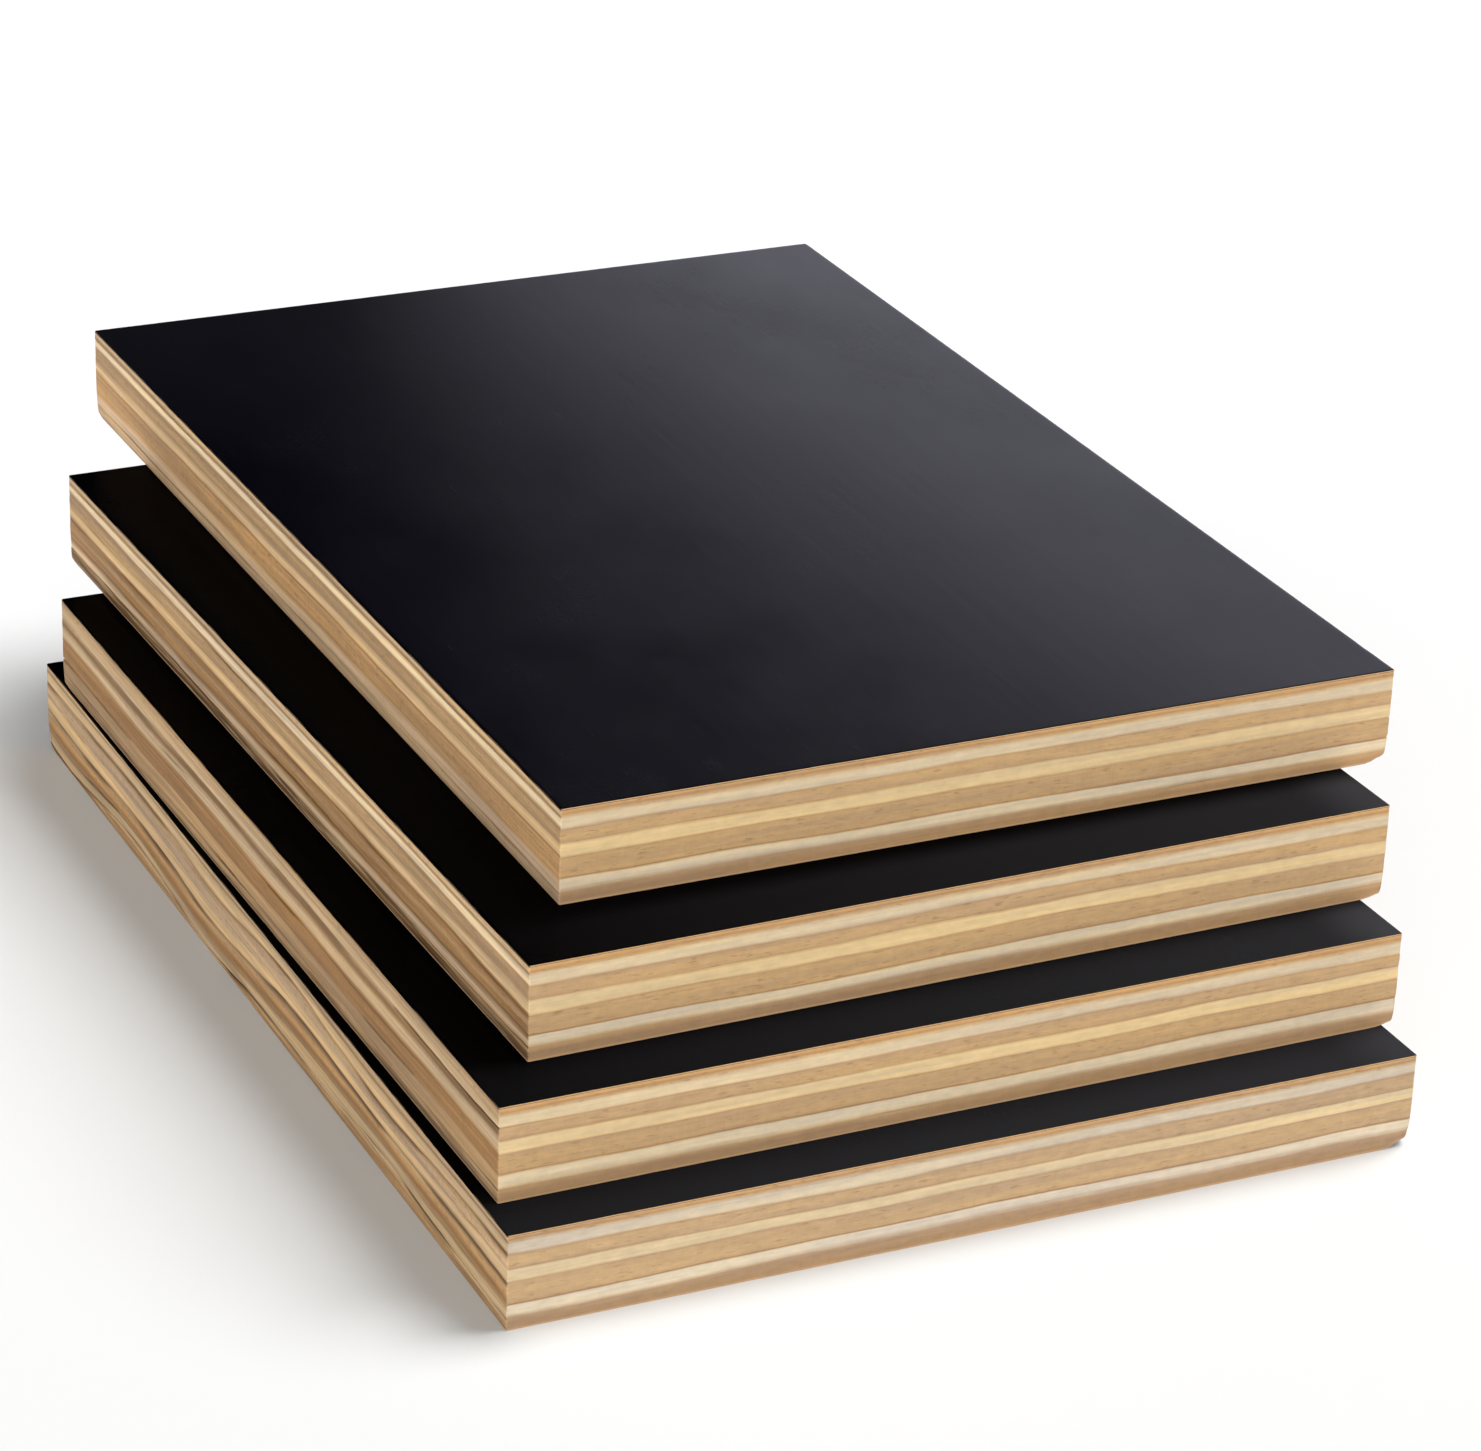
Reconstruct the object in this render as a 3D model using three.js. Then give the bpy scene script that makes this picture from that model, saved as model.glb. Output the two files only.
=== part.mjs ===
// A small stack of film-faced plywood sheets, each laid a little askew on the one below.
// Millimetres, +Z up. The origin is on the floor, under the middle of the stack's outline.
// +Y runs along the length of the sheets and +X across them. A sheet is 18 mm thick.

import * as THREE from 'three';

// Driving dimensions. The sheets are cut boards, numbered from the floor up, that differ
// from each other by up to 10 mm in width and 20 mm in length.
const SHEET_SIZES = {
  sheet_1: { width: 174, length: 248 },
  sheet_2: { width: 174, length: 228 },
  sheet_3: { width: 168, length: 235 },
  sheet_4: { width: 164, length: 248 },
};
const FILM_THICKNESS = 0.25;

// Thickness of the plies of each sheet, from its top face down to its bottom face.
// Every value is a multiple of 0.25 mm, so that neighbouring faces meet exactly.
const LAY_UPS = {
  sheet_1: [1.25, 2.25, 2.75, 2.25, 4.0, 2.5, 2.5],
  sheet_2: [1.5, 2.25, 2.5, 2.5, 3.75, 2.75, 2.25],
  sheet_3: [1.5, 2.25, 2.5, 2.75, 3.75, 2.5, 2.25],
  sheet_4: [1.5, 2.25, 2.5, 2.75, 4.0, 2.5, 2.0],
};

// Where each sheet lies: the middle of the sheet across and along the stack, measured from
// the top sheet, and its turn about the vertical in degrees.
const PLACEMENTS = {
  sheet_1: { across: -21, along: -43, turn: -0.25 },
  sheet_2: { across: -19.5, along: -41.75, turn: 0.25 },
  sheet_3: { across: -13, along: -24.5, turn: 0.75 },
  sheet_4: { across: 0, along: 0, turn: 0 },
};

// Upright corners: crisp at the front left, and knocked round at the other three,
// the more so the lower the ply is in its sheet.
const CRISP_CORNER = 0.4;
const WORN_CORNER_OF_PLY = [0.5, 0.5, 0.5, 0.6, 0.7, 1.0, 1.6];
const WORN_CORNER_OF_TOP_FILM = 0.5;
const WORN_CORNER_OF_BOTTOM_FILM = 2.0;
const CORNER_SEGMENTS = 3;

// Finishes. Odd plies run along the sheet and even plies run across it.
const FILM = { color: 0x17161b, roughness: 0.42, metalness: 0 };
const PLY_FINISHES = [
  { color: 0xc99a63, roughness: 0.72, metalness: 0 },
  { color: 0xe2cba4, roughness: 0.7, metalness: 0 },
  { color: 0xc4a078, roughness: 0.75, metalness: 0 },
  { color: 0xe3c48d, roughness: 0.7, metalness: 0 },
  { color: 0xc29c70, roughness: 0.75, metalness: 0 },
  { color: 0xddccae, roughness: 0.7, metalness: 0 },
  { color: 0xb48d63, roughness: 0.75, metalness: 0 },
];

/** The plan outline of a ply or film, centred, with its four upright corners rounded. */
function layerOutline({ width, length }, wornCorner) {
  const right = width / 2;
  const back = length / 2;
  const corners = [
    { x: -right, y: -back, radius: CRISP_CORNER, from: Math.PI },
    { x: right, y: -back, radius: wornCorner, from: 1.5 * Math.PI },
    { x: right, y: back, radius: wornCorner, from: 0 },
    { x: -right, y: back, radius: wornCorner, from: 0.5 * Math.PI },
  ];
  const outline = new THREE.Shape();
  for (const { x, y, radius, from } of corners) {
    const centreX = x - Math.sign(x) * radius;
    const centreY = y - Math.sign(y) * radius;
    outline.absarc(centreX, centreY, radius, from, from + Math.PI / 2, false);
  }
  outline.closePath();
  return outline;
}

/** One flat layer of a sheet, standing on its bottom face. */
function layer(name, size, thickness, wornCorner, finish) {
  const body = new THREE.ExtrudeGeometry(layerOutline(size, wornCorner), {
    depth: thickness,
    bevelEnabled: false,
    curveSegments: CORNER_SEGMENTS,
  });
  const mesh = new THREE.Mesh(body, new THREE.MeshStandardMaterial(finish));
  mesh.name = name;
  return mesh;
}

/** The layers of one sheet from its top film down to its bottom film. */
function layersOf(sheetName) {
  const plies = LAY_UPS[sheetName].map((thickness, index) => ({
    name: `${sheetName}_ply_${index + 1}`,
    thickness,
    wornCorner: WORN_CORNER_OF_PLY[index],
    finish: PLY_FINISHES[index],
  }));
  const topFilm = {
    name: `${sheetName}_film_top`,
    thickness: FILM_THICKNESS,
    wornCorner: WORN_CORNER_OF_TOP_FILM,
    finish: FILM,
  };
  const bottomFilm = {
    name: `${sheetName}_film_bottom`,
    thickness: FILM_THICKNESS,
    wornCorner: WORN_CORNER_OF_BOTTOM_FILM,
    finish: FILM,
  };
  return [topFilm, ...plies, bottomFilm];
}

/** One sheet, standing on its bottom film, with its layers pressed face to face. */
function sheet(sheetName) {
  const group = new THREE.Group();
  let height = 0;
  for (const { name, thickness, wornCorner, finish } of layersOf(sheetName).reverse()) {
    const mesh = layer(name, SHEET_SIZES[sheetName], thickness, wornCorner, finish);
    mesh.position.z = height;
    group.add(mesh);
    height += thickness;
  }
  return { group, height };
}

/** All the sheets, laid one on another from the floor up. */
function stackOfSheets() {
  const stack = new THREE.Group();
  let floor = 0;
  for (const [sheetName, { across, along, turn }] of Object.entries(PLACEMENTS)) {
    const { group, height } = sheet(sheetName);
    group.position.set(across, along, floor);
    group.rotation.z = THREE.MathUtils.degToRad(turn);
    stack.add(group);
    floor += height;
  }
  return stack;
}

/** Moves the stack sideways, so that the middle of its outline is over the origin. */
function centredOnOutline(stack) {
  const middle = new THREE.Box3().setFromObject(stack, true).getCenter(new THREE.Vector3());
  stack.position.set(-middle.x, -middle.y, 0);
  const part = new THREE.Group();
  part.add(stack);
  return part;
}

const part = centredOnOutline(stackOfSheets());

export default part;
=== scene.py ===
# Looks of a small stack of black film-faced plywood sheets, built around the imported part.
# Lengths in the tables are millimetres and become metres where a mesh is made.
import math

import bpy
import numpy as np
from mathutils import Matrix, Vector, noise


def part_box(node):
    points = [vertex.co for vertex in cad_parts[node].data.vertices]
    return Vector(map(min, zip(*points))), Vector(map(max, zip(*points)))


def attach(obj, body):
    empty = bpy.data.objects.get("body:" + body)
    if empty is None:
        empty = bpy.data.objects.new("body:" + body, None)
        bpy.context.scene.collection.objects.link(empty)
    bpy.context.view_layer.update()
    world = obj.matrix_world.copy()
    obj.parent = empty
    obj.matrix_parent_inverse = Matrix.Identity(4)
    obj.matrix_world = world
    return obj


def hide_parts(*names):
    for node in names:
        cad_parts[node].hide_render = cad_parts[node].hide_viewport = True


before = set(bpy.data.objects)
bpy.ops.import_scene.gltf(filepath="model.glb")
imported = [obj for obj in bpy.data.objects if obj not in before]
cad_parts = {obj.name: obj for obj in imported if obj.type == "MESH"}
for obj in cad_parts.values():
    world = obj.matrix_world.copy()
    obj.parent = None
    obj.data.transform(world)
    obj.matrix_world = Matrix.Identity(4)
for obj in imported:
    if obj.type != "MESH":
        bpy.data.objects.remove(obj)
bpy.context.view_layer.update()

MM = 0.001

# ---------------------------------------------------------------- the sheets

# How each sheet lies and how its cut edges look. Where a fact has two values, the first is
# for the short ends and the second for the long sides.
#   turn   degrees about the vertical
#   waves  how far the glue lines wander, in millimetres
#   gaps   how readily the glue lines stand a little open
#   brown  by ply: width in millimetres and strength of the brown band along its top
#   fray   how much the plies, and the lowest above all, are torn into threads on the sides
#   shade  how bright the wood is
#   tint   what the tones of the ends are multiplied by, in red, green and blue
#   wear   how much the corners are knocked round
#   painted_sheen  painted sheen on the upper film along its front end, a pale haze that
#          stands for light and reflection: at the left, at the right, and what is added at
#          the very right end
#   seed   moves every noise, so that no two sheets are alike
SHEETS = {
    "sheet_1": dict(turn=-0.25, waves=(0.35, 2.0), gaps=(0.05, 0.05),
                    brown={3: (1.1, 0.8), 5: (1.3, 0.9), 6: (0.5, 0.5), 7: (1.1, 0.9)},
                    fray=0.4, shade=(0.87, 0.97), tint=(1.0, 1.045, 1.16),
                    wear=1.3, painted_sheen=(0.0085, 0.0185, 0.010), seed=11.0),
    "sheet_2": dict(turn=0.25, waves=(0.25, 0.6), gaps=(0.05, 0.2),
                    brown={3: (1.6, 0.6), 5: (0.5, 0.4), 7: (0.8, 0.3)},
                    fray=0.5, shade=(0.965, 0.97), tint=(1.0, 1.0, 1.0),
                    wear=0.6, painted_sheen=(0.0027, 0.0165, 0.018), seed=23.0),
    "sheet_3": dict(turn=0.75, waves=(0.25, 0.3), gaps=(0.05, 0.15),
                    brown={3: (0.4, 0.25), 5: (0.6, 0.9), 6: (0.8, 0.35), 7: (0.8, 0.6)},
                    fray=1.0, shade=(0.965, 1.0), tint=(1.0, 1.0, 1.0),
                    wear=0.6, painted_sheen=(0.0004, 0.0140, 0.017), seed=37.0),
    "sheet_4": dict(turn=0.0, waves=(0.25, 0.2), gaps=(0.05, 0.05),
                    brown={3: (0.3, 0.15), 5: (0.3, 0.15), 7: (0.6, 0.4)},
                    fray=0.2, shade=(0.98, 1.03), tint=(1.0, 1.0, 1.0),
                    wear=1.0, painted_sheen=(0.0, 0.0, 0.0), seed=51.0),
}
PLIES = 7

# Upright corners. The front left one is crisp. The others have the worn radii at the worn
# heights, which are shares of the sheet's thickness, and their undersides are knocked up by
# the worn lifts, keyed by the side of the middle that a corner is on, across and along.
CRISP_RADIUS = 0.4
SMALLEST_RADIUS = 0.15
WORN_HEIGHTS = (0.0, 0.06, 0.14, 0.25, 0.45, 0.75, 1.0)
WORN_RADII = (2.3, 1.8, 1.3, 0.9, 0.7, 0.62, 0.6)
WORN_LIFTS = {(1, -1): 1.0, (1, 1): 0.8, (-1, 1): 0.5}
WORN_REACH = 1.8

# Mesh density: steps along a side and round a corner, rows up the wall of a ply as shares of
# its thickness, how far in from the walls the flat caps start, and where edges look sharp.
COLUMN_STEP = 1.25
CORNER_COLUMNS = 8
WALL_ROWS = (0.0, 0.035, 0.12, 0.5, 0.88, 0.965, 1.0)
CAP_INSET = 5.5
SHARP_ANGLE = math.radians(38)

# Height over a sheet's underside of the outline that its noises and glue lines refer to.
MIDDLE = 9.0

# Wandering of the glue lines. Neighbouring lines share one flow, and each has a little noise
# of its own, as shares of the thinner ply beside it. The flow dies out near the films, and on
# the long sides it is calm at the front.
FLOW_LENGTH, FLOW_HEIGHT = 46.0, 13.0
FLOW_FADE = 3.0
OWN_LENGTH, OWN_SHARE = 24.0, 0.08
FINE_LENGTH, FINE_SHARE = 5.0, 0.015
CALM_SHARE = 0.35
CALM_FROM, CALM_TO = -0.5, -0.05

# Relief of the sawn sides. Grooves run along every glue line, on the ends and on the sides,
# and open joints along some. Both reach a share of the ply's thickness from the line. A
# joint starts to open and is fully open at two levels of its noise, lower where the sheet's
# gaps say so.
GROOVES = (0.006, 0.05)
GROOVE_REACH = 0.12
GAP_DEPTH = 0.7
GAP_REACH = 0.10
GAP_LENGTH = 30.0
GAP_LEVELS, GAP_EASE = (0.55, 1.0), 0.4
GAP_ON_ENDS = 0.2
PLY_RECESS = 0.10
RECESS_LENGTH = 60.0
SAW_RIPPLE = 0.035
RIPPLE_LENGTH, RIPPLE_HEIGHT = 3.0, 2.0

# Films: how far their edges are set in, ragged, chipped and bevelled.
FILM_SETBACK = 0.06
FILM_RAGGED = 0.008
RAG_LENGTH = 1.7
FILM_CHIPS = 0.07
CHIP_LENGTH = 9.0
FILM_ARRIS = 0.12
LOWER_ARRIS_SHARE = 0.4

NOISE_GAIN = 1.6


def smooth_noise(points, length, level):
    """Smooth noise from about -1 to 1 at plan points: its wavelength, and its level, which is
    one number or an array."""
    level = np.broadcast_to(level, len(points))
    spots = zip(points[:, 0] / length, points[:, 1] / length, level)
    return np.array([noise.noise(Vector(spot)) for spot in spots]) * NOISE_GAIN


def smoothstep(low, high, value):
    """0 below low, 1 above high, and a smooth rise between the two."""
    t = np.clip((value - low) / (high - low), 0.0, 1.0)
    return t * t * (3.0 - 2.0 * t)


class Sheet:
    """Plan, heights and wandering glue lines of one sheet, in millimetres about its middle."""

    def __init__(self, name, turn, waves, gaps, brown, fray, shade, tint, wear, painted_sheen, seed):
        self.name, self.waves, self.gaps, self.seed = name, waves, gaps, seed
        self.brown, self.fray, self.shade, self.tint = brown, fray, shade, tint
        self.wear, self.painted_sheen = wear, painted_sheen
        low, high = (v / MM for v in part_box(f"{name}_ply_1"))
        self.centre = np.array(((low.x + high.x) / 2, (low.y + high.y) / 2))
        self.angle = math.radians(turn)
        c, s = math.cos(self.angle), abs(math.sin(self.angle))
        across, along = high.x - low.x, high.y - low.y
        self.width = (across * c - along * s) / (c * c - s * s)
        self.length = (along * c - across * s) / (c * c - s * s)
        self.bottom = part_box(f"{name}_film_bottom")[0].z / MM
        self.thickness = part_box(f"{name}_film_top")[1].z / MM - self.bottom
        faces = [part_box(f"{name}_ply_{k + 1}")[1].z / MM for k in range(PLIES)]
        faces.append(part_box(f"{name}_ply_{PLIES}")[0].z / MM)
        self.faces = [z - self.bottom for z in faces]
        self.columns = self._columns()
        self.reference = self.outline(0.0)
        self.lines = [self._glue_line(k) for k in range(PLIES + 1)]

    def _columns(self):
        """Every column of the walls as (corner, turn round it 0-1, way to the next corner 0-1)."""
        rows = []
        sides = (self.width, self.length, self.width, self.length)
        for corner, side in enumerate(sides):
            rows += [(corner, t, 0.0) for t in np.linspace(0, 1, CORNER_COLUMNS + 1)]
            steps = int(round(side / COLUMN_STEP))
            rows += [(corner, 1.0, t) for t in np.linspace(0, 1, steps + 1)[1:-1]]
        return np.array(rows)

    def worn_radius(self, height):
        """Radius of the worn corners at a height. Wear counts from the least worn radius."""
        share = np.clip(height / self.thickness, 0, 1)
        least = WORN_RADII[-1]
        return least + self.wear * (np.interp(share, WORN_HEIGHTS, WORN_RADII) - least)

    def outline(self, inset, height=MIDDLE, shrink=0.0):
        """Plan points and outward normals of the columns at a height: the plan made smaller
        all round by shrink, then each column set in by its own inset."""
        corner = self.columns[:, 0].astype(int)
        turn, way = self.columns[:, 1], self.columns[:, 2]
        sign = np.array(((-1, -1), (1, -1), (1, 1), (-1, 1)), float)
        worn = self.worn_radius(np.broadcast_to(height, turn.shape))

        def arc(which, t):
            radius = np.where(which == 0, CRISP_RADIUS, worn)
            radius = np.maximum(radius - shrink, SMALLEST_RADIUS)
            angle = math.pi + (which + t) * math.pi / 2
            normal = np.stack((np.cos(angle), np.sin(angle)), 1)
            half = np.array((self.width / 2, self.length / 2))
            middle = sign[which] * (half - shrink - radius[:, None])
            return middle + radius[:, None] * normal, normal

        here, normal = arc(corner, turn)
        there, _ = arc((corner + 1) % 4, np.zeros_like(turn))
        points = here + (there - here) * way[:, None]
        return points - normal * np.broadcast_to(inset, turn.shape)[:, None], normal

    def end_share(self):
        """1 on the short ends, 0 on the long sides, and between the two round the corners."""
        return self.reference[1][:, 1] ** 2

    def _glue_line(self, k):
        """Height of face k over the sheet's bottom at each column. The outer faces are flat."""
        z = self.faces[k]
        points, _ = self.reference
        if k in (0, PLIES):
            return np.full(len(points), z)
        end = self.end_share()
        calm = smoothstep(CALM_FROM * self.length, CALM_TO * self.length, points[:, 1])
        on_sides = self.waves[1] * (CALM_SHARE + (1 - CALM_SHARE) * calm)
        reach = self.waves[0] * end + on_sides * (1 - end)
        reach = reach * min(1.0, z / FLOW_FADE, (self.thickness - z) / FLOW_FADE)
        room = min(self.faces[k - 1] - z, z - self.faces[k + 1])
        flow = smooth_noise(points, FLOW_LENGTH, z / FLOW_HEIGHT + self.seed)
        own = smooth_noise(points, OWN_LENGTH, k * 7.3 + self.seed)
        fine = smooth_noise(points, FINE_LENGTH, k * 3.1 + self.seed)
        return z + reach * flow + room * (OWN_SHARE * own + FINE_SHARE * fine)

    def gap(self, k):
        """How far glue line k stands open at each column, 0 to 1."""
        if k in (0, PLIES):
            return np.zeros(len(self.columns))
        points, _ = self.reference
        end = self.end_share()
        share = self.gaps[0] * end + self.gaps[1] * (1 - end)
        spots = smooth_noise(points, GAP_LENGTH, k * 5.7 + self.seed + 90)
        opened = smoothstep(GAP_LEVELS[0] - share, GAP_LEVELS[1] - share * GAP_EASE, spots)
        return opened * (1 - (1 - GAP_ON_ENDS) * end)

    def lift(self, points):
        """How far the underside is knocked up at the worn corners."""
        half = np.array((self.width / 2, self.length / 2))
        lifted = np.zeros(len(points))
        for sign, most in WORN_LIFTS.items():
            away = np.linalg.norm(points - half * sign, axis=1)
            lifted += most * np.exp(-((away / WORN_REACH) ** 2))
        return self.wear * lifted

    def place(self, points, height):
        """Points about the sheet's middle, in millimetres, as vertices of the row frame."""
        c, s = math.cos(self.angle), math.sin(self.angle)
        x = points[:, 0] * c - points[:, 1] * s + self.centre[0]
        y = points[:, 0] * s + points[:, 1] * c + self.centre[1]
        z = np.broadcast_to(height, x.shape) + self.bottom
        return np.stack((x, y, z), 1) * MM


def ring_mesh(name, rings, attributes):
    """A closed body from rings of equal length, bottom to top, with a flat cap at each end.
    attributes: name to one array of vectors per ring."""
    count = len(rings[0])
    vertices = np.concatenate(rings)
    here = np.arange(count)
    after = (here + 1) % count
    faces = []
    for i in range(len(rings) - 1):
        a, b = i * count, (i + 1) * count
        faces += np.stack((a + here, a + after, b + after, b + here), 1).tolist()
    faces.append(here[::-1].tolist())
    faces.append(((len(rings) - 1) * count + here).tolist())
    mesh = bpy.data.meshes.new(name)
    mesh.from_pydata(vertices.tolist(), [], faces)
    for key, values in attributes.items():
        data = np.concatenate(values).astype(np.float32)
        layer = mesh.attributes.new(key, "FLOAT_VECTOR", "POINT")
        layer.data.foreach_set("vector", data.ravel())
    mesh.shade_smooth()
    mesh.set_sharp_from_angle(angle=SHARP_ANGLE)
    mesh.update()
    piece = bpy.data.objects.new(name, mesh)
    bpy.context.scene.collection.objects.link(piece)
    return piece


def grain_of(points, height):
    """Coordinates of the wood, in millimetres about the sheet's middle."""
    return np.concatenate((points, np.broadcast_to(height, len(points))[:, None]), 1)


def ply_piece(sheet, k):
    """Veneer k + 1 of a sheet, counted from the top, with sawn sides."""
    upper, lower = sheet.lines[k], sheet.lines[k + 1]
    points, _ = sheet.reference
    end = sheet.end_share()
    # a ply is set in deeper where its grain ends at the wall
    end_grain = 1 - end if k % 2 else end
    hollow = smooth_noise(points, RECESS_LENGTH, sheet.seed + 13.0 * k)
    recess = PLY_RECESS * (0.5 + 0.5 * hollow) * (0.5 + 0.5 * end_grain)
    recess = np.clip(recess, 0.0, None)
    gaps = (sheet.gap(k + 1), sheet.gap(k))
    rings, grain, layer = [], [], []

    def add(plan, height, from_top, from_bottom):
        rings.append(sheet.place(plan, height))
        grain.append(grain_of(plan, height))
        layer.append(np.stack((from_top, from_bottom, end), 1))

    knocked = sheet.lift(points) if k == PLIES - 1 else np.zeros(len(points))
    lower = lower + knocked
    thick = upper - lower
    for row in WALL_ROWS:
        height = lower + thick * row
        ripple = smooth_noise(points, RIPPLE_LENGTH, height / RIPPLE_HEIGHT + sheet.seed)
        edge = min(row, 1 - row)
        nearest = gaps[0] if row < 0.5 else gaps[1]
        groove = GROOVES[0] * end + GROOVES[1] * (1 - end)
        groove = groove * max(0.0, 1 - edge / GROOVE_REACH)
        opened = GAP_DEPTH * nearest * max(0.0, 1 - edge / GAP_REACH)
        inset = recess + groove + opened + SAW_RIPPLE * (1 + ripple)
        plan, _ = sheet.outline(inset, height)
        add(plan, height, thick * (1 - row), thick * row)
    inner, _ = sheet.outline(0.0, shrink=CAP_INSET)
    flat = np.zeros(len(points))
    rings.insert(0, sheet.place(inner, sheet.faces[k + 1]))
    grain.insert(0, grain_of(inner, sheet.faces[k + 1]))
    layer.insert(0, np.stack((thick, flat, end), 1))
    add(inner, sheet.faces[k], flat, thick)
    name = f"{sheet.name}_veneer_{k + 1}"
    piece = ring_mesh(name, rings, {"grain": grain, "layer": layer})
    return dress(piece, f"{sheet.name}_ply_{k + 1}")


def film_piece(sheet, which):
    """The phenolic film on one face of a sheet: thin, with a ragged cut edge."""
    up = which == "top"
    outer = sheet.thickness if up else 0.0
    inner = sheet.faces[0] if up else sheet.faces[PLIES]
    points, _ = sheet.reference
    fine = smooth_noise(points, RAG_LENGTH, sheet.seed)
    slow = smooth_noise(points, CHIP_LENGTH, sheet.seed + (4 if up else 8))
    ragged = FILM_SETBACK + FILM_RAGGED * fine + FILM_CHIPS * smoothstep(0.55, 1.2, slow)
    ragged = np.clip(ragged, 0.01, None)
    arris = FILM_ARRIS if up else FILM_ARRIS * LOWER_ARRIS_SHARE
    # an upper film's rim is bare only between its two edges, a lower film's on them too
    on_edges = 0 if up else 1
    # from the glued face outwards: rise as a share, set-in in millimetres, bare rim or not
    profile = ((0.0, CAP_INSET, 0), (0.0, 0.02, on_edges), (0.62, 0.0, 1),
               (0.9, arris * 0.45, 1), (1.0, arris, on_edges), (1.0, 0.7, 0),
               (1.0, CAP_INSET, 0))
    end = sheet.end_share()
    # the rim shows bare wood everywhere but on the right side, where it stays film-black as
    # painted shade against the key light that brightens that side
    bare_except_painted_dark_right = 1 - smoothstep(0.3, 0.9, sheet.reference[1][:, 0])
    rings, grain, rim = [], [], []
    for rise, set_in, on_rim in profile:
        height = inner + (outer - inner) * rise
        corner_height = outer if up else height
        hidden = set_in == CAP_INSET
        plan, _ = sheet.outline(0.0 if hidden else ragged, corner_height, set_in)
        level = np.full(len(points), height)
        if not up and not hidden:
            level = level + sheet.lift(points)
        rings.append(sheet.place(plan, level))
        grain.append(grain_of(plan, level))
        rim.append(np.stack((on_rim * bare_except_painted_dark_right, end, 0 * end), 1))
    if not up:
        rings, grain, rim = rings[::-1], grain[::-1], rim[::-1]
    name = f"{sheet.name}_face_{which}"
    piece = ring_mesh(name, rings, {"grain": grain, "rim": rim})
    return dress(piece, f"{sheet.name}_film_{which}")


def dress(piece, node):
    """Parents a piece to the root body and hides the CAD node that it stands for."""
    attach(piece, "root")
    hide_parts(node)
    return piece


# ---------------------------------------------------------------- materials


def tone(red, green, blue):
    """A colour written 0-255 as on a screen, in the linear values that shaders use."""
    values = [c / 255 for c in (red, green, blue)]
    return tuple(c / 12.92 if c < 0.04045 else ((c + 0.055) / 1.055) ** 2.4 for c in values)


class Nodes:
    """Short calls for building one material's nodes."""

    def __init__(self, name):
        self.material = bpy.data.materials.new(name)
        self.material.use_nodes = True
        self.tree = self.material.node_tree
        self.shader = self.tree.nodes["Principled BSDF"]

    def set(self, socket, value):
        """Links a socket to another, or gives it a value."""
        if isinstance(value, bpy.types.NodeSocket):
            self.tree.links.new(value, socket)
        else:
            socket.default_value = value

    def node(self, kind, *values, **settings):
        node = self.tree.nodes.new(kind)
        for key, value in settings.items():
            setattr(node, key, value)
        for socket, value in zip(node.inputs, values):
            self.set(socket, value)
        return node

    def math(self, operation, *values, clamp=False):
        node = self.node("ShaderNodeMath", *values, operation=operation, use_clamp=clamp)
        return node.outputs[0]

    def attribute(self, name):
        return self.node("ShaderNodeAttribute", attribute_name=name).outputs["Vector"]

    def parts(self, vector):
        return self.node("ShaderNodeSeparateXYZ", vector).outputs

    def pattern(self, grain, offset, scale, detail, roughness):
        """Noise of one of the kinds below, in the wood's own coordinates."""
        moved = self.node("ShaderNodeVectorMath", grain, offset, operation="ADD").outputs[0]
        spots = self.node("ShaderNodeVectorMath", moved, scale, operation="MULTIPLY").outputs[0]
        node = self.node("ShaderNodeTexNoise")
        self.set(node.inputs["Vector"], spots)
        for key, number in (("Scale", 1.0), ("Detail", detail), ("Roughness", roughness)):
            node.inputs[key].default_value = number
        return node.outputs["Fac"]

    def grey(self, value, blue=1.0):
        """A grey of a linked value, with its blue multiplied."""
        tinted = value if blue == 1.0 else self.math("MULTIPLY", value, blue)
        return self.node("ShaderNodeCombineXYZ", value, value, tinted).outputs[0]

    def spread(self, value, low, high, to_low=0.0, to_high=1.0, smooth=True):
        """The value from low to high, turned into one from to_low to to_high."""
        kind = "SMOOTHSTEP" if smooth else "LINEAR"
        node = self.node("ShaderNodeMapRange", interpolation_type=kind)
        self.set(node.inputs["Value"], value)
        for key, number in (("From Min", low), ("From Max", high),
                            ("To Min", to_low), ("To Max", to_high)):
            node.inputs[key].default_value = number
        return node.outputs["Result"]

    def ramp(self, value, stops, tint=(1.0, 1.0, 1.0)):
        """Colours at their places from 0 to 1, each multiplied by the tint."""
        node = self.node("ShaderNodeValToRGB", value)
        elements = node.color_ramp.elements
        while len(elements) < len(stops):
            elements.new(0.5)
        for element, (position, colour) in zip(elements, stops):
            element.position = position
            element.color = (*(c * t for c, t in zip(tone(*colour), tint)), 1)
        return node.outputs["Color"]

    def mix(self, share, first, second, blend="MIX"):
        node = self.node("ShaderNodeMix", data_type="RGBA", blend_type=blend)
        self.set(node.inputs["Factor"], share)
        for socket, value in ((node.inputs[6], first), (node.inputs[7], second)):
            self.set(socket, (*value, 1) if isinstance(value, tuple) else value)
        return node.outputs[2]

    def bump(self, height, distance, strength):
        node = self.node("ShaderNodeBump")
        node.inputs["Strength"].default_value = strength
        node.inputs["Distance"].default_value = distance
        self.set(node.inputs["Height"], height)
        return node.outputs["Normal"]


# Tones of the wood, as on a screen.
CREAM, IVORY, LINEN, OAT = (250, 222, 182), (222, 202, 172), (213, 192, 160), (207, 180, 144)
STRAW, HONEY, SAND, FAWN = (236, 200, 152), (222, 194, 148), (216, 186, 148), (202, 169, 130)
BLUSH, ROSE, BISCUIT, AMBER = (228, 194, 158), (210, 177, 143), (195, 160, 118), (203, 159, 112)
TAN, COCOA, CARAMEL, UMBER = (188, 153, 114), (174, 139, 103), (180, 138, 92), (173, 130, 86)
BARK, PEAT = (152, 118, 82), (128, 100, 72)

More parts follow.
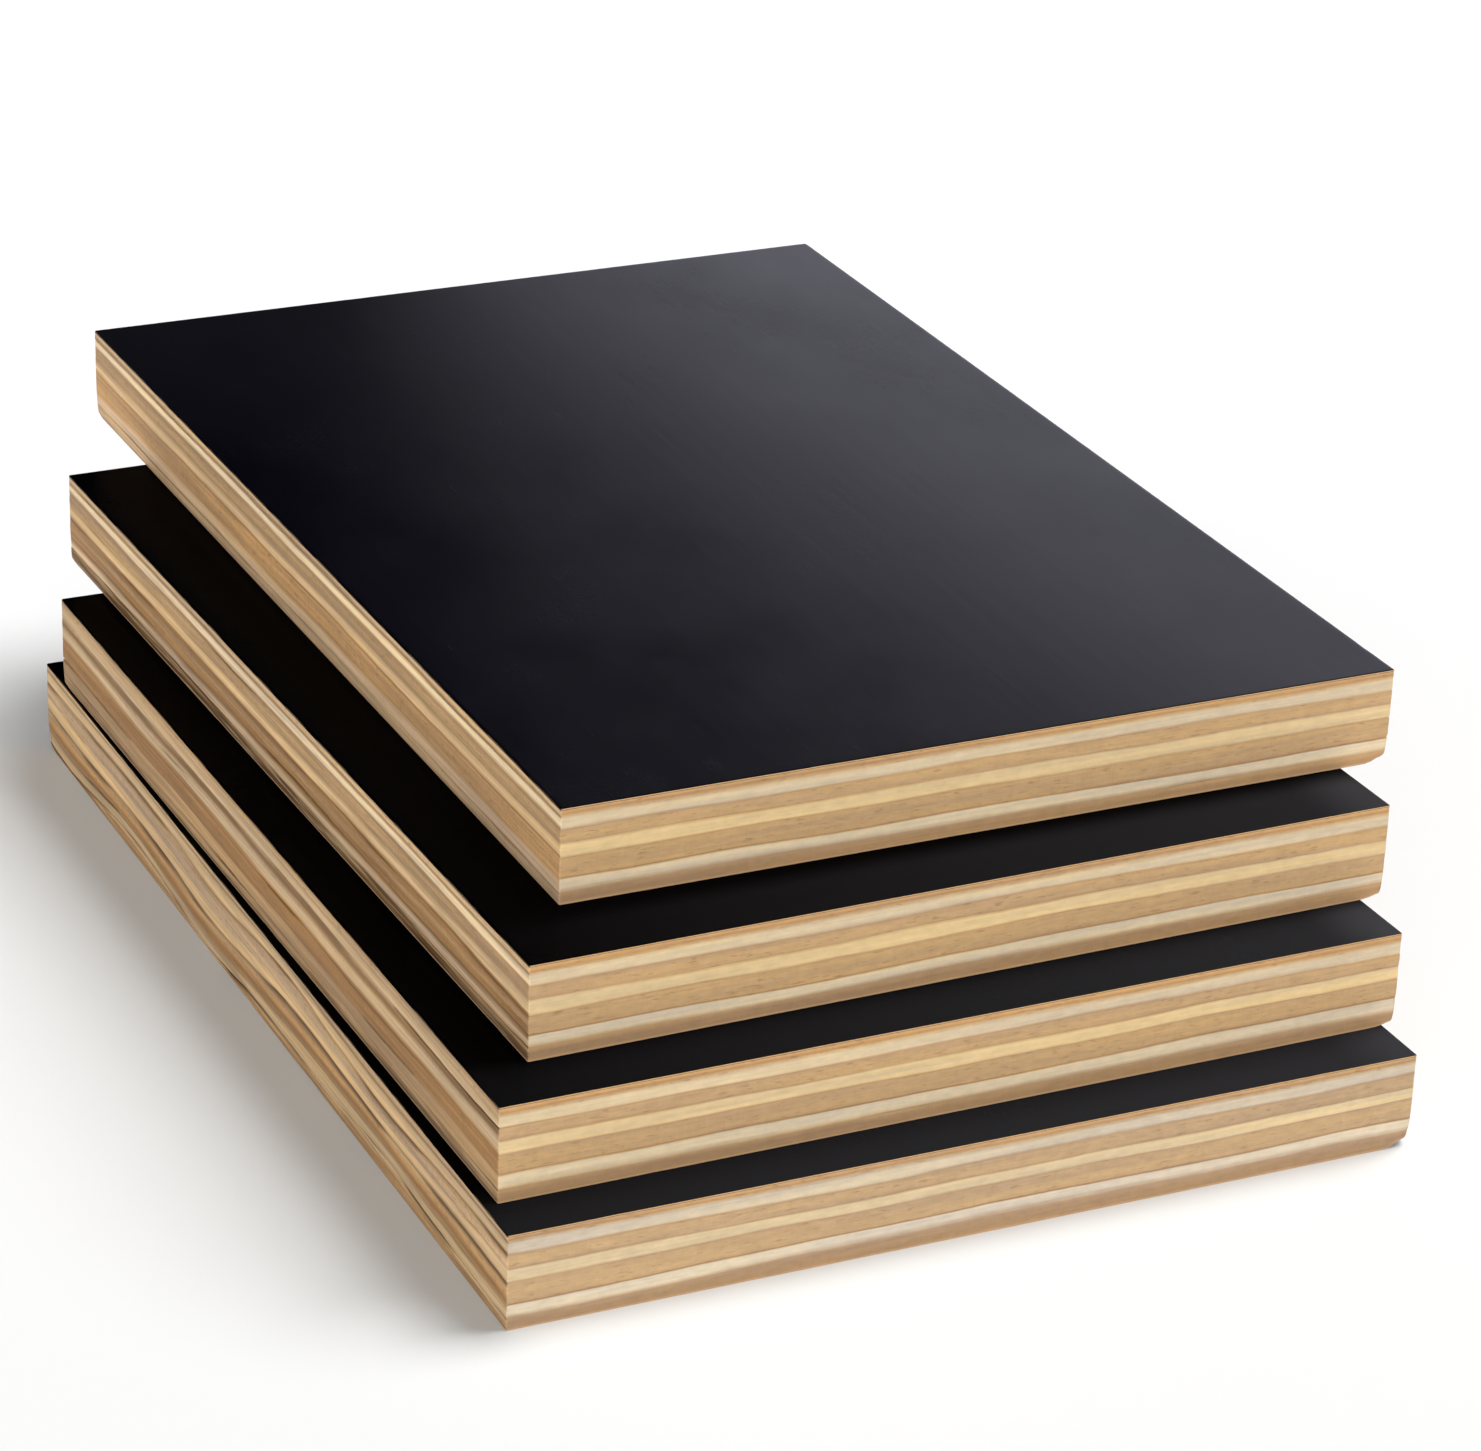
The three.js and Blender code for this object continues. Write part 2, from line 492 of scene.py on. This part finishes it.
# Each ply from its bottom (0) to its top (1), on the short ends and on the long sides: the
# tones of its body, and those that it runs into along the glue lines.
END_TONES = {
    1: [(0.0, OAT), (0.25, BISCUIT), (0.5, CARAMEL), (0.8, AMBER), (1.0, BISCUIT)],
    2: [(0.0, TAN), (0.2, LINEN), (0.85, LINEN), (1.0, OAT)],
    3: [(0.0, TAN), (0.15, BISCUIT), (0.85, BISCUIT), (1.0, TAN)],
    4: [(0.0, BISCUIT), (0.15, HONEY), (0.85, HONEY), (1.0, BISCUIT)],
    5: [(0.0, UMBER), (0.1, BISCUIT), (0.9, BISCUIT), (1.0, TAN)],
    6: [(0.0, TAN), (0.15, OAT), (0.35, IVORY), (0.9, IVORY), (1.0, TAN)],
    7: [(0.0, AMBER), (0.1, COCOA), (0.5, COCOA), (1.0, TAN)],
}
SIDE_TONES = {
    1: [(0.0, TAN), (0.2, BARK), (0.45, FAWN), (0.78, SAND), (1.0, TAN)],
    2: [(0.0, TAN), (0.16, TAN), (0.44, CREAM), (0.8, CREAM), (1.0, TAN)],
    3: [(0.0, TAN), (1.0, TAN)],
    4: [(0.0, UMBER), (0.12, UMBER), (0.3, STRAW), (0.6, STRAW), (1.0, TAN)],
    5: [(0.0, UMBER), (0.4, TAN), (0.8, UMBER), (1.0, UMBER)],
    6: [(0.0, FAWN), (0.3, ROSE), (0.7, FAWN), (1.0, TAN)],
    7: [(0.0, PEAT), (0.5, BARK), (0.9, TAN), (1.0, BARK)],
}
# Plies that look different from the others of their kind on the long sides.
SIDE_TONES_OF = {
    ("sheet_1", 2): [(0.0, TAN), (0.3, STRAW), (0.8, SAND), (1.0, TAN)],
    ("sheet_1", 3): [(0.0, ROSE), (0.5, ROSE), (1.0, TAN)],
    ("sheet_1", 4): [(0.0, TAN), (0.3, STRAW), (1.0, STRAW)],
    ("sheet_1", 5): [(0.0, TAN), (0.3, UMBER), (0.6, AMBER), (1.0, FAWN)],
    ("sheet_1", 6): [(0.0, SAND), (0.6, SAND), (1.0, FAWN)],
    ("sheet_1", 7): [(0.0, TAN), (0.4, AMBER), (0.85, STRAW), (1.0, SAND)],
    ("sheet_2", 1): [(0.0, FAWN), (0.35, FAWN), (0.7, TAN), (1.0, TAN)],
    ("sheet_2", 2): [(0.0, TAN), (0.2, SAND), (1.0, FAWN)],
    ("sheet_2", 3): [(0.0, SAND), (0.2, FAWN), (0.5, BARK), (0.75, BARK), (1.0, FAWN)],
    ("sheet_2", 4): [(0.0, UMBER), (0.2, UMBER), (0.5, SAND), (1.0, SAND)],
    ("sheet_2", 5): [(0.0, UMBER), (1.0, UMBER)],
    ("sheet_2", 6): [(0.0, TAN), (1.0, TAN)],
    ("sheet_2", 7): [(0.0, PEAT), (0.6, TAN), (1.0, TAN)],
    ("sheet_3", 2): [(0.0, TAN), (0.12, TAN), (0.3, CREAM), (0.78, CREAM), (0.95, TAN)],
    ("sheet_3", 5): [(0.0, UMBER), (0.35, UMBER), (0.55, TAN), (0.85, UMBER), (1.0, UMBER)],
    ("sheet_3", 6): [(0.0, SAND), (0.12, BLUSH), (0.45, BLUSH), (0.75, TAN), (1.0, BARK)],
    ("sheet_4", 1): [(0.0, TAN), (0.2, BARK), (0.45, FAWN), (0.78, STRAW), (1.0, TAN)],
    ("sheet_4", 5): [(0.0, AMBER), (1.0, AMBER)],
    ("sheet_4", 6): [(0.0, BLUSH), (0.6, BLUSH), (1.0, AMBER)],
    ("sheet_4", 7): [(0.0, FAWN), (0.4, ROSE), (1.0, FAWN)],
}
BROWN, PORE, THREAD = tone(94, 65, 41), tone(126, 92, 64), tone(216, 196, 160)

# The wood drifts between these two, which its tones are multiplied by.
COOL, WARM = (0.98, 0.985, 1.03), (1.02, 1.0, 0.925)

# Strength of a ply's thin brown lines: along its top on the ends, and along its bottom on
# the ends and the sides.
THIN_LINES = {3: (0.12, 0.15), 5: (0.12, 0.22)}
THIN_LINE_WIDTH = 0.3
LEAST_BROWN_WIDTH = 0.12

# How much of the fray the two lowest plies take, and the others.
FRAY_SHARES = {6: 0.2, 7: 1.0}
FRAY_OF_OTHERS = 0.15

# Noises in the wood and on the films: waves in a millimetre across the sheet, along it and
# up it, then detail and roughness.
BROAD = ((0.014, 0.014, 0.6), 2.0, 0.5)
STREAKS = ((0.05, 0.05, 2.2), 3.0, 0.55)
MOTTLE = ((0.35, 0.35, 0.9), 2.0, 0.6)
TICKS = ((1.9, 1.9, 0.3), 2.0, 0.6)
FLECKS = ((0.4, 0.4, 2.6), 2.0, 0.5)
PRESENCE = ((0.03, 0.03, 0.05), 1.0, 0.5)
CLOUDS = ((0.03, 0.022, 0.03), 6.0, 0.65)
TELEGRAPHED = ((0.35, 0.02, 0.1), 2.0, 0.6)
SCUFFS = ((0.5, 0.06, 0.2), 4.0, 0.7)
FRAYED = ((0.12, 0.12, 6.0), 2.0, 0.5)

# How much of the noises shows: how far the bands waver, the streaks and the broad noise as
# light and dark with their share on the ends, the mottling on the ends and on the sides, the
# saw ticks on even and on odd plies with their share on the ends, and the pores.
WAVER = 0.5
STREAK_DEPTH, BROAD_DEPTH, STREAKS_ON_ENDS = 0.65, 0.8, 0.4
MOTTLE_DEPTHS = (0.3, 0.12)
TICK_DEPTHS, TICKS_ON_ENDS = (0.06, 0.16), 0.35
PORE_DEPTH, PLIES_WITH_PORES = 0.42, (1, 3, 5)

VENEER_GLOSS = 0.25
VENEER_ROUGHNESS = (0.62, 0.82)
VENEER_RELIEF = 0.12 * MM


class Veneer(Nodes):
    """The nodes of one ply's material, with what its layers of colour have in common."""

    def __init__(self, sheet, ply):
        super().__init__(f"{sheet.name}_ply_{ply}_sawn")
        self.sheet, self.ply = sheet, ply
        self.offset = (sheet.seed * 3.1, sheet.seed * 1.7 + ply * 31.0, ply * 17.0)
        self.grain = self.attribute("grain")
        self.from_top, self.from_bottom, self.end = self.parts(self.attribute("layer"))
        self.broad = self.wood(BROAD)
        self.streak = self.wood(STREAKS)
        self.ticks = self.wood(TICKS)

    def wood(self, kind):
        """One of the noises above, laid out for this ply."""
        return self.pattern(self.grain, self.offset, *kind)

    def by_face(self, on_ends, on_sides):
        """One value on the short ends and another on the long sides."""
        return self.spread(self.end, 0.0, 1.0, on_sides, on_ends, smooth=False)

    def bands(self):
        """The tones of the ply from its bottom to its top, wavering a little along the sheet."""
        both = self.math("ADD", self.from_top, self.from_bottom)
        depth = self.math("DIVIDE", self.from_bottom, both)
        wander = self.math("MULTIPLY", self.math("SUBTRACT", self.broad, 0.5), WAVER)
        core = self.math("MULTIPLY", depth, self.math("SUBTRACT", 1.0, depth))
        core = self.math("MULTIPLY", core, 4.0)
        bent = self.math("MULTIPLY_ADD", wander, core, depth, clamp=True)
        side_tones = SIDE_TONES_OF.get((self.sheet.name, self.ply), SIDE_TONES[self.ply])
        sides = self.ramp(bent, side_tones)
        ends = self.ramp(bent, END_TONES[self.ply], self.sheet.tint)
        return self.mix(self.end, sides, ends)

    def shaded(self, colour):
        """Light and dark streaks, strongest on the long sides, and mottling, which is
        strongest on the ends."""
        streak = self.math("SUBTRACT", self.streak, 0.5)
        along = self.math("MULTIPLY", streak, STREAK_DEPTH)
        broad = self.math("SUBTRACT", self.broad, 0.5)
        along = self.math("MULTIPLY_ADD", broad, BROAD_DEPTH, along)
        along = self.math("MULTIPLY", along, self.by_face(STREAKS_ON_ENDS, 1.0))
        mottle = self.math("SUBTRACT", self.wood(MOTTLE), 0.5)
        patch = self.math("MULTIPLY", mottle, self.by_face(*MOTTLE_DEPTHS))
        light = self.math("ADD", along, patch)
        light = self.math("ADD", light, self.by_face(*self.sheet.shade))
        colour = self.mix(1.0, colour, self.grey(light), "MULTIPLY")
        warmth = self.mix(self.spread(self.broad, 0.35, 0.65), COOL, WARM)
        return self.mix(1.0, colour, warmth, "MULTIPLY")

    def sawn(self, colour):
        """Upright saw ticks, and the pores that dot some plies."""
        most = TICK_DEPTHS[self.ply % 2]
        tick = self.spread(self.ticks, 0.5, 0.72)
        tick = self.math("MULTIPLY", tick, self.by_face(most * TICKS_ON_ENDS, most))
        colour = self.mix(tick, colour, PORE)
        if self.ply not in PLIES_WITH_PORES:
            return colour
        fleck = self.spread(self.wood(FLECKS), 0.58, 0.74)
        return self.mix(self.math("MULTIPLY", fleck, PORE_DEPTH), colour, PORE)

    def lined(self, colour):
        """Thin brown lines along the glue, and brown bands along the tops on the sides."""
        here = self.spread(self.wood(PRESENCE), 0.38, 0.60)
        top_line, bottom_line = THIN_LINES.get(self.ply, (0.0, 0.0))
        if self.ply in self.sheet.brown:
            width, strength = self.sheet.brown[self.ply]
            reach = self.math("MULTIPLY_ADD", here, width, LEAST_BROWN_WIDTH)
            narrower = self.math("SUBTRACT", THIN_LINE_WIDTH, reach)
            reach = self.math("MULTIPLY_ADD", self.end, narrower, reach)
            band = self.math("DIVIDE", self.from_top, reach)
            band = self.spread(band, 0.0, 1.0, 1.0, 0.0)
            band = self.math("MULTIPLY", band, self.by_face(top_line, strength))
            some = self.math("MULTIPLY_ADD", here, 0.75, 0.25)
            colour = self.mix(self.math("MULTIPLY", band, some), colour, BROWN)
        if bottom_line:
            band = self.spread(self.from_bottom, 0.0, THIN_LINE_WIDTH, bottom_line, 0.0)
            colour = self.mix(self.math("MULTIPLY", band, here), colour, BROWN)
        return colour

    def torn(self, colour):
        """Dark and pale threads torn out along the sides."""
        most = FRAY_SHARES.get(self.ply, FRAY_OF_OTHERS) * self.sheet.fray
        side = self.by_face(0.0, most)
        dark = self.math("MULTIPLY", self.spread(self.streak, 0.38, 0.54, 0.85, 0.0), side)
        pale = self.math("MULTIPLY", self.spread(self.streak, 0.56, 0.66, 0.0, 0.6), side)
        return self.mix(pale, self.mix(dark, colour, BROWN), THREAD)


def veneer_material(sheet, k):
    """Sawn edge of one ply: flowing bands, streaks, saw ticks, pores and brown glue lines."""
    n = Veneer(sheet, k + 1)
    colour = n.torn(n.lined(n.sawn(n.shaded(n.bands()))))
    n.set(n.shader.inputs["Base Color"], colour)
    n.shader.inputs["Specular IOR Level"].default_value = VENEER_GLOSS
    n.set(n.shader.inputs["Roughness"], n.spread(n.streak, 0.3, 0.7, *VENEER_ROUGHNESS))
    relief = n.math("MULTIPLY_ADD", n.ticks, -0.5, n.math("MULTIPLY", n.streak, 0.6))
    n.set(n.shader.inputs["Normal"], n.bump(relief, VENEER_RELIEF, 0.7))
    return n.material


# Films: colour, scuffed colour and specular level. The top sheet's are a little more shiny.
FILM_OF = {"sheet_4": ((0.0010, 0.0009, 0.0026), (0.0040, 0.0038, 0.0060), 0.05)}
FILM_OF_OTHERS = ((0.0006, 0.0006, 0.0010), (0.0018, 0.0017, 0.0021), 0.004)
FILM_ROUGHNESS = (0.20, 0.29)
FILM_RELIEF = 0.03 * MM
SCUFF_DEPTH = 0.5
SCUFF_ROUGHNESS = 0.08

# Rims of the films. That of an upper film differs between the long sides and the ends.
TOP_EDGE_AT_SIDE, TOP_EDGE_AT_END = tone(112, 94, 74), tone(196, 156, 110)
BOTTOM_EDGE = tone(190, 155, 118)

# Painted sheen on the upper films: a pale haze that stands for the light and reflection
#  they catch. The haze along the front end fades out between two distances from it, in
#  millimetres, and what the right end adds grows between two distances from the right side.
#  The top film also has painted sheen that grows from past its middle, a share of the
#  length, to its back.
SHEEN_REACH = (10.0, 18.0)
SHEEN_TIP = (15.0, 2.0)
BACK_SHEEN = {"sheet_4": 0.003}
BACK_SHEEN_FROM = 0.1
SHEEN_BLUE = 1.12


def add_painted_sheen(n, sheet, grain, colour):
    """An upper film's colour with its painted sheen, a pale haze standing for light and
    reflection.
    """
    across, along, _ = n.parts(grain)
    left, right, more = sheet.painted_sheen
    side, back = sheet.width / 2, sheet.length / 2
    sheen = n.spread(across, -side, side, left, right, smooth=False)
    tip = n.spread(across, side - SHEEN_TIP[0], side - SHEEN_TIP[1], 0.0, more)
    sheen = n.math("ADD", sheen, tip)
    near = n.spread(along, SHEEN_REACH[0] - back, SHEEN_REACH[1] - back, 1.0, 0.0)
    sheen = n.math("MULTIPLY", sheen, near)
    most = BACK_SHEEN.get(sheet.name, 0.0)
    far = n.spread(along, BACK_SHEEN_FROM * sheet.length, back, 0.0, most)
    sheen = n.math("ADD", sheen, far)
    return n.mix(1.0, colour, n.grey(sheen, SHEEN_BLUE), "ADD")


def film_material(sheet, which):
    """Black phenolic film: satin, with the veneer's grain faintly telegraphed through it."""
    n = Nodes(f"{sheet.name}_film_{which}")
    black, scuffed, gloss = FILM_OF.get(sheet.name, FILM_OF_OTHERS)
    offset = (sheet.seed * 2.3, sheet.seed * 5.1, 3.0)
    grain = n.attribute("grain")
    rim, end, _ = n.parts(n.attribute("rim"))
    scuffs = n.pattern(grain, offset, *SCUFFS)
    scuff = n.math("MULTIPLY", n.spread(scuffs, 0.6, 0.8), SCUFF_DEPTH)
    colour = n.mix(scuff, black, scuffed)
    if which == "top":
        # painted sheen: a pale haze standing for the light and reflection that the film catches
        colour = add_painted_sheen(n, sheet, grain, colour)
        frayed = n.pattern(grain, offset, *FRAYED)
        shown = n.math("MAXIMUM", n.spread(frayed, 0.45, 0.65), end)
        edge = n.mix(end, TOP_EDGE_AT_SIDE, TOP_EDGE_AT_END)
        colour = n.mix(n.math("MULTIPLY", rim, shown), colour, edge)
    else:
        colour = n.mix(rim, colour, BOTTOM_EDGE)
    n.set(n.shader.inputs["Base Color"], colour)
    n.shader.inputs["Specular IOR Level"].default_value = gloss
    clouds = n.pattern(grain, offset, *CLOUDS)
    rough = n.spread(clouds, 0.3, 0.7, *FILM_ROUGHNESS, smooth=False)
    rough = n.math("MULTIPLY_ADD", scuff, SCUFF_ROUGHNESS, rough)
    n.set(n.shader.inputs["Roughness"], rough)
    grain_through = n.pattern(grain, offset, *TELEGRAPHED)
    n.set(n.shader.inputs["Normal"], n.bump(grain_through, FILM_RELIEF, 0.5))
    return n.material


# ---------------------------------------------------------------- building

for sheet_name, facts in SHEETS.items():
    board = Sheet(sheet_name, **facts)
    for index in range(PLIES):
        ply_piece(board, index).data.materials.append(veneer_material(board, index))
    for side_name in ("top", "bottom"):
        film_piece(board, side_name).data.materials.append(film_material(board, side_name))


# ---------------------------------------------------------------- the studio

# In metres from here on.
FLOOR_SIZE = 16.0
FLOOR_WHITE = 0.7
FLOOR_GLOW = 0.1


def make_floor():
    """A wide white floor. Its glow lifts the open floor to white where it is looked at."""
    half = FLOOR_SIZE / 2
    mesh = bpy.data.meshes.new("floor")
    mesh.from_pydata([(-half, -half, 0), (half, -half, 0), (half, half, 0), (-half, half, 0)],
                     [], [(0, 1, 2, 3)])
    floor = bpy.data.objects.new("floor", mesh)
    bpy.context.scene.collection.objects.link(floor)
    n = Nodes("floor_white")
    n.tree.nodes.remove(n.shader)
    plain = n.node("ShaderNodeBsdfDiffuse", (FLOOR_WHITE, FLOOR_WHITE, FLOOR_WHITE, 1))
    path = n.node("ShaderNodeLightPath").outputs
    seen = n.math("MAXIMUM", path["Is Camera Ray"], path["Is Glossy Ray"])
    seen = n.math("MAXIMUM", seen, path["Is Transmission Ray"])
    glow = n.node("ShaderNodeEmission", (1, 1, 1, 1), n.math("MULTIPLY", seen, FLOOR_GLOW))
    both = n.node("ShaderNodeAddShader", plain.outputs[0], glow.outputs[0])
    n.tree.links.new(both.outputs[0], n.tree.nodes["Material Output"].inputs["Surface"])
    mesh.materials.append(n.material)


WORLD_STRENGTH = 0.36
WORLD_COLOUR = (0.95, 1.0, 0.945, 1)
WORLD_FADE = (-0.35, 0.55)
DARK_TOWARDS = Vector((0.39, 0.82, 0.41)).normalized()


def make_world():
    """Plain soft light from all round, which fades out towards the studio's dark end, behind
    the stack and above it."""
    world = bpy.data.worlds.new("studio")
    bpy.context.scene.world = world
    world.use_nodes = True
    tree = world.node_tree
    new, link = tree.nodes.new, tree.links.new
    where = new("ShaderNodeTexCoord")
    toward = new("ShaderNodeVectorMath")
    toward.operation = "DOT_PRODUCT"
    link(where.outputs["Generated"], toward.inputs[0])
    toward.inputs[1].default_value = DARK_TOWARDS
    fade = new("ShaderNodeMapRange")
    fade.interpolation_type = "SMOOTHSTEP"
    link(toward.outputs["Value"], fade.inputs["Value"])
    for key, number in (("From Min", WORLD_FADE[0]), ("From Max", WORLD_FADE[1]),
                        ("To Min", WORLD_STRENGTH), ("To Max", 0.0)):
        fade.inputs[key].default_value = number
    background = tree.nodes["Background"]
    background.inputs["Color"].default_value = WORLD_COLOUR
    link(fade.outputs["Result"], background.inputs["Strength"])


def aim(thing, eye, target):
    """Puts a lamp at a place and turns it towards another."""
    thing.location = eye
    thing.rotation_euler = (Vector(target) - Vector(eye)).to_track_quat("-Z", "Y").to_euler()


def add_light(name, kind, energy, eye, target=(0, 0, 0), **settings):
    """A lamp that the camera doesn't see."""
    lamp = bpy.data.lights.new(name, kind)
    lamp.energy = energy
    for key, value in settings.items():
        setattr(lamp, key, value)
    thing = bpy.data.objects.new(name, lamp)
    bpy.context.scene.collection.objects.link(thing)
    aim(thing, eye, target)
    thing.visible_camera = False
    return thing


def make_lights():
    """Key from the right, fill from low at the front left that leaves no shine on the films,
    and a panel whose reflection brightens the top film towards the back right."""
    soft = math.radians(40)
    add_light("key", "SUN", energy=3.72, eye=(1.0, 0.12, 1.53), angle=soft)
    fill = add_light("fill", "SUN", energy=3.3, eye=(-0.54, -0.84, 0.08), angle=soft)
    fill.visible_glossy = False
    add_light("side_panel", "AREA", energy=1.38, eye=(0.45, 0.65, 0.24),
              target=(-0.256, 0.62, -0.467), shape="RECTANGLE", size=0.75, size_y=0.3,
              color=(0.94, 0.93, 1.08))


CAMERA_PLACE = Vector((-381.35, -821.52, 445.17)) * MM
CAMERA_AZIMUTH = math.radians(-25.667)
CAMERA_ELEVATION = math.radians(24.457)
CAMERA_ROLL = math.radians(2.015)
CAMERA_LENS = 125.34


def make_camera():
    """Camera at the photograph's viewing angle, rolled a little about its line of sight."""
    forward = Vector((-math.sin(CAMERA_AZIMUTH) * math.cos(CAMERA_ELEVATION),
                      math.cos(CAMERA_AZIMUTH) * math.cos(CAMERA_ELEVATION),
                      -math.sin(CAMERA_ELEVATION)))
    level = forward.cross(Vector((0, 0, 1))).normalized()
    above = level.cross(forward)
    c, s = math.cos(CAMERA_ROLL), math.sin(CAMERA_ROLL)
    right, up = level * c + above * s, above * c - level * s
    lens = bpy.data.cameras.new("camera")
    lens.sensor_width = 36.0
    lens.lens = CAMERA_LENS
    lens.clip_start = 0.01
    lens.clip_end = 50.0
    camera = bpy.data.objects.new("camera", lens)
    bpy.context.scene.collection.objects.link(camera)
    turn = Matrix((right, up, -forward)).transposed()
    camera.matrix_world = Matrix.Translation(CAMERA_PLACE) @ turn.to_4x4()
    bpy.context.scene.camera = camera


make_floor()
make_world()
make_lights()
make_camera()
bpy.context.scene.view_settings.view_transform = "Standard"
